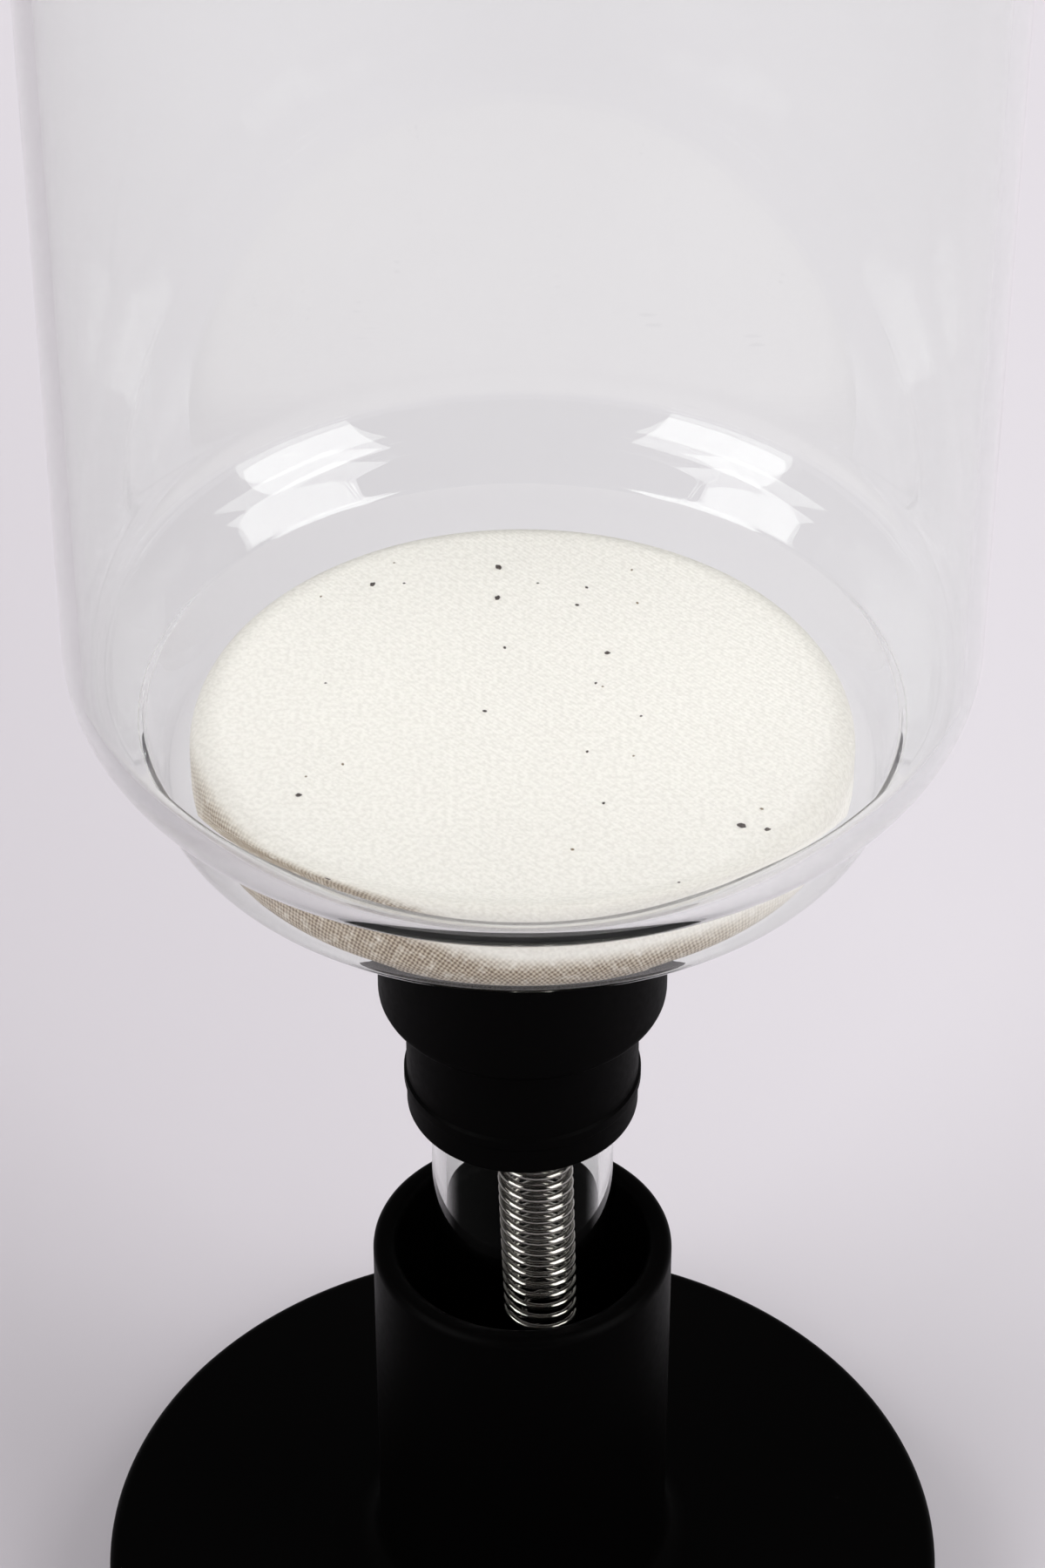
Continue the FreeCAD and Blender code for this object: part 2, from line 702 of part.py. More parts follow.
hook_run.Shape = bent_wire(
    [
        ring_foot,
        FreeCAD.Vector(inside, 0, (ring_foot.z + under) / 2),
        FreeCAD.Vector(inside, 0, under),
        FreeCAD.Vector(outside, 0, under),
        FreeCAD.Vector(outside, 0, under + size("hook_leg")),
    ],
    size("hook_bend"),
    size("hook_wire"),
)
hook_run.Placement.Rotation = hook_side
subparts.append(joined("MultiFuse", "tube_hook", [hook_run, hook_ring]))

doc.recompute()
for item in doc.Objects:
    if "Invalid" in item.State or "Error" in item.State:
        raise RuntimeError(f"{item.Label} did not build: {item.State}")

os.makedirs("parts", exist_ok=True)
for subpart in subparts:
    shape = subpart.Shape
    if shape.isNull() or not shape.isValid() or not shape.Solids:
        raise RuntimeError(f"{subpart.Label} is not a sound solid")
    shape.exportStep(f"parts/{subpart.Label}.step")
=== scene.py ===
import math

import bmesh
import bpy
from mathutils import Matrix, Vector, noise


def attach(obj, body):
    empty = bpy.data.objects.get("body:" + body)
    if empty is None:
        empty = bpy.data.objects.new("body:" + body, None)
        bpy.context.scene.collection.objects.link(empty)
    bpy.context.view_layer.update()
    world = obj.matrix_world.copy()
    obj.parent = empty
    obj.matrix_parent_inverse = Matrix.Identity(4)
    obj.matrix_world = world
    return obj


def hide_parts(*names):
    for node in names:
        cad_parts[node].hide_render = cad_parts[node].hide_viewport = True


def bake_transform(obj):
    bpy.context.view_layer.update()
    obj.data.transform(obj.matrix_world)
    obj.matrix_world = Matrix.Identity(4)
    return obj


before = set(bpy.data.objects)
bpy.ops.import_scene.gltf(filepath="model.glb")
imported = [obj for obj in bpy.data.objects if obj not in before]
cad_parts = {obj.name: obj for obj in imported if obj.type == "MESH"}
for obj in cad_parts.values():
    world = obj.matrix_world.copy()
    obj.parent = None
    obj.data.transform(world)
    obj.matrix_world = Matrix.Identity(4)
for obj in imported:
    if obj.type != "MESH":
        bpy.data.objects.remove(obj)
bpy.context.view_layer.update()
scene = bpy.context.scene

# Sizes in millimetres, as in the construction model. Heights are above the table.
MM = 0.001
TUBE_END = 3.75
TUBE_RADIUS = 8.65
TUBE_BORE = 7.35
CUP_UNDERSIDE = 110.0
CUP_FLOOR = 111.0
CUP_FOOT_RADIUS = 32.3
CUP_FOOT_BORE = 31.2
CREASE_RADIUS = 34.3
CREASE = 118.467
LIP_RADIUS = 33.2
LIP = 119.241
BOWL_RADIUS = 40.0
BOWL_BORE = 38.4
SHOULDER = 123.25
SHOULDER_BORE = 123.604
RIM = 210.1
FILTER_BASE = 111.05
FILTER_TOP = 118.4
FILTER_RADIUS = 29.3
FILTER_FORWARD = Vector((0, -1.4, 0))
CLOTH = 1.1
HEM_RADIUS = 21.0
EDGE_ROUND = 2.1
HEM_ROUND = 2.3
CORD_RADIUS = 0.65
KNOT_RADIUS = 1.3
CORD_TAIL = 8.0
GASKET_BASE = 71.15
PLUG_RADIUS = 10.9
FLANGE_BASE = 84.55
FLANGE_RADIUS = 13.4
FLANGE_TOP = 100.05
GASKET_TOP = 103.55
GASKET_TOP_RADIUS = 10.6
SOCKET_RADIUS = 14.5
SOCKET_BORE = 12.2
SOCKET_RIM = 52.8
SOCKET_FLOOR = 2.2
LID_RADIUS = 42.4
LID_EDGE = 10.4
LID_MIDDLE = 12.2
LID_UNDERSIDE = 8.2
SKIRT_BORE = 40.6
RING_RADIUS = 37.8
RING_BORE = 36.2
RING_FOOT = 5.2
RIB_COUNT = 6
RIB_WIDTH = 1.6

# Chain line inside the tube: where it starts, which way it leans and what hangs on it
EYE_HEIGHT = 106.15
CHAIN_HEADING = math.radians(-50.62)
CHAIN_TILT = math.radians(2.5564)
COIL_RADIUS = 3.15
COIL_WIRE = 0.35
COIL_PITCH = 1.369
COIL_TURNS = 39
LOOP_RADIUS = 1.9
LOOP_DROP = 2.6
RING_WIRE = 0.4
COUPLING_RING = 1.5
COUPLING_LENGTH = 3.4
BEAD_RADIUS = 1.5
BEAD_HALF = 1.418
BEAD_PITCH = 3.9
BEAD_COUNT = 5
LINK_RADIUS = 0.4
HOOK_WIRE = 0.55
HOOK_RING_WIRE = 0.62
COIL_TOP = LOOP_DROP + LOOP_RADIUS + COIL_PITCH
TOP_EYE = 64.88
FIRST_BEAD = 71.198
BOTTOM_EYE = 93.116
HOOK_RING = 94.796
HOOK_AZIMUTH = math.radians(-60)


# Meshes


def mesh_object(name, points, faces, sharp=40):
    """Smooth mesh object from points in millimetres, with edges sharper than an angle kept crisp."""
    mesh = bpy.data.meshes.new(name)
    mesh.from_pydata([Vector(point) * MM for point in points], [], faces)
    mesh.polygons.foreach_set("use_smooth", [True] * len(mesh.polygons))
    mesh.set_sharp_from_angle(angle=math.radians(sharp))
    mesh.update()
    obj = bpy.data.objects.new(name, mesh)
    scene.collection.objects.link(obj)
    return obj


def soften(corners, steps=10):
    """Outline through (radius, height, round) corners, with an arc at each rounded one."""
    outline = []
    count = len(corners)
    for place, (across, upward, bend) in enumerate(corners):
        corner = Vector((across, upward))
        if bend == 0:
            outline.append(corner)
            continue
        before = Vector(corners[place - 1][:2])
        after = Vector(corners[(place + 1) % count][:2])
        arriving = (before - corner).normalized()
        leaving = (after - corner).normalized()
        half = arriving.angle(leaving) / 2
        middle = corner + (arriving + leaving).normalized() * (bend / math.sin(half))
        first = corner + arriving * (bend / math.tan(half)) - middle
        last = corner + leaving * (bend / math.tan(half)) - middle
        sweep = first.angle_signed(last)
        for step in range(steps + 1):
            turn = -sweep * step / steps
            turned = Matrix.Rotation(turn, 2) @ first
            outline.append(middle + turned)
    return outline


def braced(outline, margin=0.25):
    """Outline with extra points near the ends of its straight runs, so that smooth shading keeps them straight."""
    points = [outline[0]]
    for start, end in zip(outline, outline[1:]):
        run = end - start
        if run.length > 4 * margin:
            points.append(start + run.normalized() * margin)
            points.append(end - run.normalized() * margin)
        points.append(end)
    return points


def lathe(name, outline, segments=192, closed=True, shift=None):
    """Turn an outline of (radius, height) points round the upright axis."""
    points = []
    faces = []
    count = len(outline)
    for segment in range(segments):
        turn = 2 * math.pi * segment / segments
        for place, (across, upward) in enumerate(outline):
            point = Vector((across * math.cos(turn), across * math.sin(turn), upward))
            points.append(shift(point, place, turn) if shift else point)
    for segment in range(segments):
        here = segment * count
        there = (segment + 1) % segments * count
        for place in range(count if closed else count - 1):
            following = (place + 1) % count
            faces.append((here + place, there + place, there + following, here + following))
    obj = mesh_object(name, points, faces)
    weld(obj)
    return obj


def weld(obj):
    """Join points that lie on each other, such as those on the axis."""
    work = bmesh.new()
    work.from_mesh(obj.data)
    bmesh.ops.remove_doubles(work, verts=work.verts, dist=1e-7)
    bmesh.ops.dissolve_degenerate(work, edges=work.edges, dist=1e-7)
    bmesh.ops.recalc_face_normals(work, faces=work.faces)
    work.to_mesh(obj.data)
    work.free()


def tube(name, path, radius, sides=12, closed=False):
    """Round wire along a path of points."""
    points = []
    faces = []
    count = len(path)
    normal = None
    for place in range(count):
        ahead = path[(place + 1) % count] if closed or place + 1 < count else path[place]
        behind = path[place - 1] if closed or place > 0 else path[place]
        along = (ahead - behind).normalized()
        if normal is None:
            normal = along.orthogonal().normalized()
        normal = (normal - along * normal.dot(along)).normalized()
        aside = along.cross(normal)
        for side in range(sides):
            turn = 2 * math.pi * side / sides
            points.append(path[place] + (normal * math.cos(turn) + aside * math.sin(turn)) * radius)
    for place in range(count if closed else count - 1):
        here = place * sides
        there = (place + 1) % count * sides
        for side in range(sides):
            following = (side + 1) % sides
            faces.append((here + side, here + following, there + following, there + side))
    if not closed:
        faces.append(tuple(reversed(range(sides))))
        faces.append(tuple(range((count - 1) * sides, count * sides)))
    return mesh_object(name, points, faces)


def ring_path(centre, radius, first_axis, second_axis, steps=48):
    """Points round a circle."""
    path = []
    for step in range(steps):
        turn = 2 * math.pi * step / steps
        path.append(centre + (first_axis * math.cos(turn) + second_axis * math.sin(turn)) * radius)
    return path


def merged(name, objects):
    """One object made of several."""
    target = objects[0]
    bpy.ops.object.select_all(action="DESELECT")
    for obj in objects:
        obj.select_set(True)
    bpy.context.view_layer.objects.active = target
    bpy.ops.object.join()
    target.name = name
    return target


def finished(obj, material, body, nodes=()):
    """Dress a piece, attach it to its body and let it stand for construction nodes."""
    obj.data.materials.clear()
    obj.data.materials.append(material)
    if body:
        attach(obj, body)
    if nodes:
        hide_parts(*nodes)
    return obj


# Shader groups that several materials share


def new_group(name, inputs, outputs):
    group = bpy.data.node_groups.new(name, "ShaderNodeTree")
    for label, kind, value in inputs:
        socket = group.interface.new_socket(label, in_out="INPUT", socket_type=kind)
        if value is not None:
            socket.default_value = value
    for label, kind in outputs:
        group.interface.new_socket(label, in_out="OUTPUT", socket_type=kind)
    return group, group.nodes.new("NodeGroupInput"), group.nodes.new("NodeGroupOutput")


def node(tree, kind, **settings):
    made = tree.nodes.new(kind)
    for key, value in settings.items():
        setattr(made, key, value)
    return made


def maths(tree, operation, first, second=None, third=None):
    """Math node fed by sockets or plain numbers; returns its output."""
    made = node(tree, "ShaderNodeMath", operation=operation)
    for place, value in enumerate((first, second, third)):
        if value is None:
            continue
        if isinstance(value, (int, float)):
            made.inputs[place].default_value = value
        else:
            tree.links.new(value, made.inputs[place])
    return made.outputs[0]


def ramp(tree, value, low, high):
    """Smooth step of a value from 0 at low to 1 at high."""
    made = node(tree, "ShaderNodeMapRange", interpolation_type="SMOOTHSTEP")
    tree.links.new(value, made.inputs["Value"])
    made.inputs["From Min"].default_value = low
    made.inputs["From Max"].default_value = high
    return made.outputs["Result"]


def weave_group():
    """Plain weave: raised dots where threads cross, at a pitch in the vector's own unit."""
    group, source, result = new_group(
        "plain_weave",
        [("Vector", "NodeSocketVector", None), ("Pitch", "NodeSocketFloat", 0.62)],
        [("Height", "NodeSocketFloat")],
    )
    wander = node(group, "ShaderNodeTexNoise")
    wander.inputs["Scale"].default_value = 1.6
    group.links.new(source.outputs["Vector"], wander.inputs["Vector"])
    pulled = node(group, "ShaderNodeVectorMath", operation="MULTIPLY_ADD")
    group.links.new(wander.outputs["Color"], pulled.inputs[0])
    pulled.inputs[1].default_value = (0.35, 0.35, 0)
    group.links.new(source.outputs["Vector"], pulled.inputs[2])
    apart = node(group, "ShaderNodeSeparateXYZ")
    group.links.new(pulled.outputs[0], apart.inputs[0])
    waves = []
    for axis in ("X", "Y"):
        turns = maths(group, "DIVIDE", apart.outputs[axis], source.outputs["Pitch"])
        waves.append(maths(group, "SINE", maths(group, "MULTIPLY", turns, math.pi)))
    crossing = maths(group, "MULTIPLY", waves[0], waves[1])
    group.links.new(maths(group, "MULTIPLY_ADD", crossing, 0.5, 0.5), result.inputs["Height"])
    return group


def wear_group():
    """Fine unevenness of a smooth surface: a roughness around a middle value, and a bump height."""
    group, source, result = new_group(
        "surface_wear",
        [
            ("Scale", "NodeSocketFloat", 900.0),
            ("Middle", "NodeSocketFloat", 0.3),
            ("Spread", "NodeSocketFloat", 0.1),
        ],
        [("Roughness", "NodeSocketFloat"), ("Height", "NodeSocketFloat")],
    )
    place = node(group, "ShaderNodeTexCoord")
    grain = node(group, "ShaderNodeTexNoise")
    grain.inputs["Detail"].default_value = 3
    group.links.new(place.outputs["Object"], grain.inputs["Vector"])
    group.links.new(source.outputs["Scale"], grain.inputs["Scale"])
    offset = maths(group, "SUBTRACT", grain.outputs["Fac"], 0.5)
    spread = maths(group, "MULTIPLY", offset, source.outputs["Spread"])
    total = maths(group, "ADD", spread, source.outputs["Middle"])
    group.links.new(total, result.inputs["Roughness"])
    group.links.new(grain.outputs["Fac"], result.inputs["Height"])
    return group


WEAVE = weave_group()
WEAR = wear_group()


def new_material(name):
    material = bpy.data.materials.new(name)
    material.use_nodes = True
    tree = material.node_tree
    return material, tree, tree.nodes["Principled BSDF"]


def worn_material(name, colour, scale, middle, spread, bump, **sockets):
    """Solid material whose roughness and bump come from the shared wear group."""
    material, tree, surface = new_material(name)
    surface.inputs["Base Color"].default_value = (*colour, 1)
    for label, value in sockets.items():
        surface.inputs[label.replace("_", " ")].default_value = value
    wear = node(tree, "ShaderNodeGroup", node_tree=WEAR)
    wear.inputs["Scale"].default_value = scale
    wear.inputs["Middle"].default_value = middle
    wear.inputs["Spread"].default_value = spread
    tree.links.new(wear.outputs["Roughness"], surface.inputs["Roughness"])
    relief = node(tree, "ShaderNodeBump")
    relief.inputs["Strength"].default_value = bump
    relief.inputs["Distance"].default_value = 0.0001
    tree.links.new(wear.outputs["Height"], relief.inputs["Height"])
    tree.links.new(relief.outputs["Normal"], surface.inputs["Normal"])
    return material


def glass_material():
    """Clear glass with the faint waviness of blown glass; lamps shine through it."""
    material, tree, surface = new_material("clear_glass")
    surface.inputs["Base Color"].default_value = (0.985, 1, 0.985, 1)
    surface.inputs["Roughness"].default_value = 0.0
    surface.inputs["IOR"].default_value = 1.47
    surface.inputs["Transmission Weight"].default_value = 1.0
    wear = node(tree, "ShaderNodeGroup", node_tree=WEAR)
    wear.inputs["Scale"].default_value = 45
    relief = node(tree, "ShaderNodeBump")
    relief.inputs["Strength"].default_value = 0.006
    relief.inputs["Distance"].default_value = 0.001
    tree.links.new(wear.outputs["Height"], relief.inputs["Height"])
    tree.links.new(relief.outputs["Normal"], surface.inputs["Normal"])
    path = node(tree, "ShaderNodeLightPath")
    clear = node(tree, "ShaderNodeBsdfTransparent")
    clear.inputs["Color"].default_value = (0.6, 0.605, 0.6, 1)
    mix = node(tree, "ShaderNodeMixShader")
    tree.links.new(path.outputs["Is Shadow Ray"], mix.inputs["Fac"])
    tree.links.new(surface.outputs[0], mix.inputs[1])
    tree.links.new(clear.outputs[0], mix.inputs[2])
    tree.links.new(mix.outputs[0], tree.nodes["Material Output"].inputs["Surface"])
    return material


def cloth_material():
    """Cream flannel: a fine weave, a soft nap and coffee stains along the front edge, with painted shade darkening
    the band over the disc's rounded edge.
    """
    material, tree, surface = new_material("cotton_flannel")
    surface.inputs["Sheen Weight"].default_value = 0.15
    surface.inputs["Specular IOR Level"].default_value = 0.1
    chart = node(tree, "ShaderNodeUVMap", uv_map="flat_cloth")
    centred = node(tree, "ShaderNodeVectorMath", operation="MULTIPLY_ADD")
    tree.links.new(chart.outputs[0], centred.inputs[0])
    centred.inputs[1].default_value = (100, 100, 0)
    centred.inputs[2].default_value = (-50, -50, 0)
    weave = node(tree, "ShaderNodeGroup", node_tree=WEAVE)
    weave.inputs["Pitch"].default_value = 0.28
    tree.links.new(centred.outputs[0], weave.inputs["Vector"])
    nap = node(tree, "ShaderNodeTexNoise")
    nap.inputs["Scale"].default_value = 2.2
    nap.inputs["Detail"].default_value = 6
    tree.links.new(centred.outputs[0], nap.inputs["Vector"])
    apart = node(tree, "ShaderNodeSeparateXYZ")
    tree.links.new(centred.outputs[0], apart.inputs[0])
    length = node(tree, "ShaderNodeVectorMath", operation="LENGTH")
    tree.links.new(centred.outputs[0], length.inputs[0])
    reach = length.outputs["Value"]
    turn = maths(tree, "ARCTAN2", apart.outputs["Y"], apart.outputs["X"])
    leftward = ramp(tree, maths(tree, "COSINE", maths(tree, "SUBTRACT", turn, math.radians(-145))), 0.55, 1)
    facing = maths(tree, "COSINE", maths(tree, "SUBTRACT", turn, math.radians(-108)))
    side = ramp(tree, facing, 0.2, 0.85)
    raised = maths(tree, "MULTIPLY_ADD", leftward, 3.5, reach)
    band = maths(
        tree, "MULTIPLY", ramp(tree, raised, 31.6, 33.8), maths(tree, "SUBTRACT", 1, ramp(tree, reach, 36, 37.5))
    )
    blotch = node(tree, "ShaderNodeTexNoise")
    blotch.inputs["Scale"].default_value = 0.9
    blotch.inputs["Detail"].default_value = 4
    tree.links.new(centred.outputs[0], blotch.inputs["Vector"])
    patchy = ramp(tree, blotch.outputs["Fac"], 0.1, 0.55)
    gaps = maths(tree, "MULTIPLY_ADD", weave.outputs["Height"], -1.1, 1.15)
    stain = maths(tree, "MULTIPLY", maths(tree, "MULTIPLY", band, side), maths(tree, "MULTIPLY", patchy, gaps))
    tinted = node(tree, "ShaderNodeMix", data_type="RGBA")
    tinted.inputs["A"].default_value = (0.915, 0.87, 0.83, 1)
    tinted.inputs["B"].default_value = (0.58, 0.45, 0.28, 1)
    spread = maths(tree, "MULTIPLY", maths(tree, "MULTIPLY", band, side), 0.7)
    tree.links.new(maths(tree, "MULTIPLY", spread, patchy), tinted.inputs["Factor"])
    colour = node(tree, "ShaderNodeMix", data_type="RGBA")
    tree.links.new(tinted.outputs["Result"], colour.inputs["A"])
    colour.inputs["B"].default_value = (0.12, 0.066, 0.026, 1)
    tree.links.new(stain, colour.inputs["Factor"])
    # Painted shade darkens the band over the disc's rounded edge; the nap adds its own darker spots of grain.
    nap_and_painted_edge_shade = node(tree, "ShaderNodeMix", data_type="RGBA", blend_type="MULTIPLY")
    painted_edge_shade = maths(
        tree, "MULTIPLY", ramp(tree, reach, 26, 28.5), maths(tree, "SUBTRACT", 1, ramp(tree, reach, 30, 32))
    )
    uneven = maths(tree, "MULTIPLY", ramp(tree, nap.outputs["Fac"], 0.62, 0.35), 0.22)
    tree.links.new(maths(tree, "MULTIPLY_ADD", painted_edge_shade, 0.25, uneven), nap_and_painted_edge_shade.inputs["Factor"])
    tree.links.new(colour.outputs["Result"], nap_and_painted_edge_shade.inputs["A"])
    nap_and_painted_edge_shade.inputs["B"].default_value = (0.55, 0.53, 0.5, 1)
    tree.links.new(nap_and_painted_edge_shade.outputs["Result"], surface.inputs["Base Color"])
    surface.inputs["Roughness"].default_value = 0.95
    height = maths(tree, "MULTIPLY_ADD", nap.outputs["Fac"], 0.5, weave.outputs["Height"])
    relief = node(tree, "ShaderNodeBump")
    relief.inputs["Strength"].default_value = 0.2
    relief.inputs["Distance"].default_value = 0.0002
    tree.links.new(height, relief.inputs["Height"])
    tree.links.new(relief.outputs["Normal"], surface.inputs["Normal"])
    return material


glass = glass_material()
rubber = worn_material(
    "black_rubber", (0.0008, 0.0007, 0.0007), 1400, 0.5, 0.2, 0.08, Specular_IOR_Level=0.02
)
moulding = worn_material(
    "black_moulding", (0.0008, 0.0007, 0.0007), 1100, 0.42, 0.15, 0.05, Specular_IOR_Level=0.02
)
steel = worn_material("bright_steel", (0.4, 0.375, 0.355), 2500, 0.1, 0.08, 0.03, Metallic=1.0)
plate_steel = worn_material("stainless_steel", (0.56, 0.56, 0.55), 700, 0.3, 0.2, 0.05, Metallic=1.0)
cord_cotton = worn_material("cotton_cord", (0.78, 0.74, 0.66), 3500, 0.9, 0.1, 0.5)
coffee = worn_material("coffee_grounds", (0.035, 0.02, 0.012), 3000, 0.8, 0.2, 0.3)
coffee_dust = worn_material("coffee_dust", (0.2, 0.145, 0.08), 3000, 0.8, 0.2, 0.3)
flannel = cloth_material()

# Glass chamber
chamber_outline = soften(
    [
        (TUBE_RADIUS, TUBE_END, 0.5),
        (TUBE_RADIUS, CUP_UNDERSIDE, 5.0),
        (CUP_FOOT_RADIUS, CUP_UNDERSIDE, 5.0),
        (CREASE_RADIUS, CREASE, 0.5),
        (BOWL_RADIUS, SHOULDER, 8.5),
        (BOWL_RADIUS, RIM, 0.7),
        (BOWL_BORE, RIM, 0.7),
        (BOWL_BORE, SHOULDER_BORE, 9.0),
        (LIP_RADIUS, LIP, 1.0),
        (CUP_FOOT_BORE, CUP_FLOOR, 2.5),
        (TUBE_BORE, CUP_FLOOR, 4.5),
        (TUBE_BORE, TUBE_END, 0.5),
    ],
    steps=14,
)
finished(lathe("glass_chamber", braced(chamber_outline), 256), glass, "chamber", ["brew_chamber"])

# Rubber gasket with its sealing ridge
gasket_outline = soften(
    [
        (TUBE_RADIUS + 0.02, GASKET_BASE, 0),
        (PLUG_RADIUS, GASKET_BASE, 0.5),
        (PLUG_RADIUS, GASKET_BASE + 3.0, 0.1),
        (PLUG_RADIUS + 0.25, GASKET_BASE + 3.25, 0.1),
        (PLUG_RADIUS + 0.25, GASKET_BASE + 4.2, 0.1),
        (PLUG_RADIUS, GASKET_BASE + 4.45, 0.1),
        (PLUG_RADIUS, FLANGE_BASE, 0.6),
        (FLANGE_RADIUS, FLANGE_BASE, 1.0),
        (FLANGE_RADIUS, FLANGE_TOP, 1.0),
        (GASKET_TOP_RADIUS, GASKET_TOP, 0.5),
        (TUBE_RADIUS + 0.02, GASKET_TOP, 0),
    ],
    steps=6,
)
finished(lathe("rubber_gasket", braced(gasket_outline), 128), rubber, "chamber", ["gasket"])

# Outline of the lid with its socket, skirt and locating ring
lid_outline = soften(
    [
        (0, 0, 0),
        (SOCKET_RADIUS, 0, 0.4),
        (SOCKET_RADIUS, LID_UNDERSIDE, 0.5),
        (RING_BORE, LID_UNDERSIDE, 0.4),
        (RING_BORE, RING_FOOT, 0.4),
        (RING_RADIUS, RING_FOOT, 0.4),
        (RING_RADIUS, LID_UNDERSIDE, 0.4),
        (SKIRT_BORE, LID_UNDERSIDE, 0.4),
        (SKIRT_BORE, 0, 0.4),
        (LID_RADIUS, 0, 0.4),
        (LID_RADIUS, LID_EDGE, 1.1),
        (SOCKET_RADIUS, LID_MIDDLE, 2.5),
        (SOCKET_RADIUS, SOCKET_RIM, 0.9),
        (SOCKET_BORE, SOCKET_RIM, 0.9),
        (SOCKET_BORE, SOCKET_FLOOR, 1.0),
        (0, SOCKET_FLOOR, 0),
    ],
    steps=6,
)

# Filter cloth: flat on top, round the disc's edge, gathered in pleats under it
def cloth_outline():
    """Outer face from the middle of the top to the hem, then back along the inner face."""
    outer = [Vector((FILTER_RADIUS * share / 24, FILTER_TOP)) for share in range(24)]
    outer = [point for point in outer if point.x < FILTER_RADIUS - EDGE_ROUND]
    turned_edge = soften(
        [
            (0, FILTER_TOP, 0),
            (FILTER_RADIUS, FILTER_TOP, EDGE_ROUND),
            (FILTER_RADIUS, FILTER_BASE, HEM_ROUND),
            (HEM_RADIUS, FILTER_BASE, 0.4),
            (HEM_RADIUS, FILTER_BASE + CLOTH, 0.4),
            (FILTER_RADIUS - CLOTH, FILTER_BASE + CLOTH, 0.4),
            (FILTER_RADIUS - CLOTH, FILTER_TOP - CLOTH, EDGE_ROUND - CLOTH),
            (0, FILTER_TOP - CLOTH, 0),
        ],
        steps=8,
    )
    return outer + turned_edge[1:]


def pleat(point, place, turn):
    """Gathers that deepen towards the hem, and a slightly uneven top."""
    reach = math.hypot(point.x, point.y)
    inward = max(0.0, min(1.0, (FILTER_RADIUS - 1.5 - reach) / (FILTER_RADIUS - HEM_RADIUS)))
    if point.z < FILTER_BASE + 2.5:
        fold = 0.5 + 0.5 * math.sin(46 * turn + 1.5 * math.sin(5 * turn))
        point.z += 0.9 * inward * fold
    elif point.z > FILTER_TOP - 0.3:
        point.z -= 0.12 * (0.5 + 0.5 * noise.noise(point * 0.12))
    return point


def flat_reach(across, upward):
    """Distance from the cloth's middle, measured over the cloth as if it lay flat."""
    edge_middle = FILTER_RADIUS - EDGE_ROUND
    if upward > FILTER_TOP - EDGE_ROUND:
        if across < edge_middle:
            return across
        bend = math.atan2(across - edge_middle, upward - FILTER_TOP + EDGE_ROUND)
        return edge_middle + EDGE_ROUND * bend
    side_start = edge_middle + EDGE_ROUND * math.pi / 2
    if upward > FILTER_BASE + HEM_ROUND:
        return side_start + FILTER_TOP - EDGE_ROUND - upward
    hem_middle = FILTER_RADIUS - HEM_ROUND
    hem_start = side_start + FILTER_TOP - EDGE_ROUND - FILTER_BASE - HEM_ROUND
    if across > hem_middle:
        bend = math.atan2(FILTER_BASE + HEM_ROUND - upward, across - hem_middle)
        return hem_start + HEM_ROUND * bend
    return hem_start + HEM_ROUND * math.pi / 2 + hem_middle - across


cloth = lathe("flannel_cloth", cloth_outline(), 368, closed=False, shift=pleat)
chart = cloth.data.uv_layers.new(name="flat_cloth")
for loop in cloth.data.loops:
    spot = cloth.data.vertices[loop.vertex_index].co / MM
    across = math.hypot(spot.x, spot.y)
    stretch = flat_reach(across, spot.z) / max(across, 1e-6)
    chart.data[loop.index].uv = (0.5 + spot.x * stretch / 100, 0.5 + spot.y * stretch / 100)
cloth.data.transform(Matrix.Translation(FILTER_FORWARD * MM))
finished(cloth, flannel, "filter", ["filter_cloth"])

# Drawstring: two twisted strands round the hem, a knot and two tails
cord_height = FILTER_BASE + CORD_RADIUS + 0.05
cord_ring = HEM_RADIUS - 0.05 - CORD_RADIUS
knot_across = cord_ring - KNOT_RADIUS
cord_pieces = []
for strand in (0, math.pi):
    path = []
    for step in range(720):
        turn = 2 * math.pi * step / 720
        twist = 70 * turn + strand
        across = cord_ring + 0.5 * CORD_RADIUS * math.cos(twist)
        upward = cord_height + 0.5 * CORD_RADIUS * math.sin(twist)
        path.append(Vector((across * math.cos(turn), across * math.sin(turn), upward)))
    cord_pieces.append(tube("strand", path, 0.5 * CORD_RADIUS, 6, closed=True))
knot_middle = Vector((knot_across, 0, cord_height + KNOT_RADIUS - CORD_RADIUS))
knot_path = []
for step in range(60):
    turn = 2 * math.pi * step / 60
    swing = (KNOT_RADIUS - 0.45) * (0.72 + 0.28 * math.cos(3 * turn))
    knot_path.append(
        knot_middle + Vector((swing * math.cos(2 * turn), swing * math.sin(2 * turn), 0.45 * math.sin(3 * turn)))
    )
cord_pieces.append(tube("knot", knot_path, 0.45, 8, closed=True))
for swing in (-28, 28):
    turned = Matrix.Rotation(math.radians(swing), 3, "Z")
    for strand in (0, math.pi):
        path = []
        for step in range(41):
            twist = 10 * step / 40 * math.pi + strand
            along = -CORD_TAIL * step / 40
            wind = Vector((along, 0.5 * CORD_RADIUS * math.cos(twist), 0.5 * CORD_RADIUS * math.sin(twist)))
            path.append(knot_middle + turned @ wind)
        cord_pieces.append(tube("tail", path, 0.5 * CORD_RADIUS, 6))
drawstring = merged("drawstring", cord_pieces)
drawstring.data.transform(Matrix.Translation(FILTER_FORWARD * MM))
finished(drawstring, cord_cotton, "filter", ["cloth_drawstring"])

# Disc, eyelet and washer keep their construction shape
for name, material in (
    ("filter_disc", plate_steel),
    ("filter_eyelet", steel),
    ("eyelet_washer", steel),
):
    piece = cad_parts[name]
    piece.data.materials.clear()
    piece.data.materials.append(material)


# Geometry node trees for what repeats


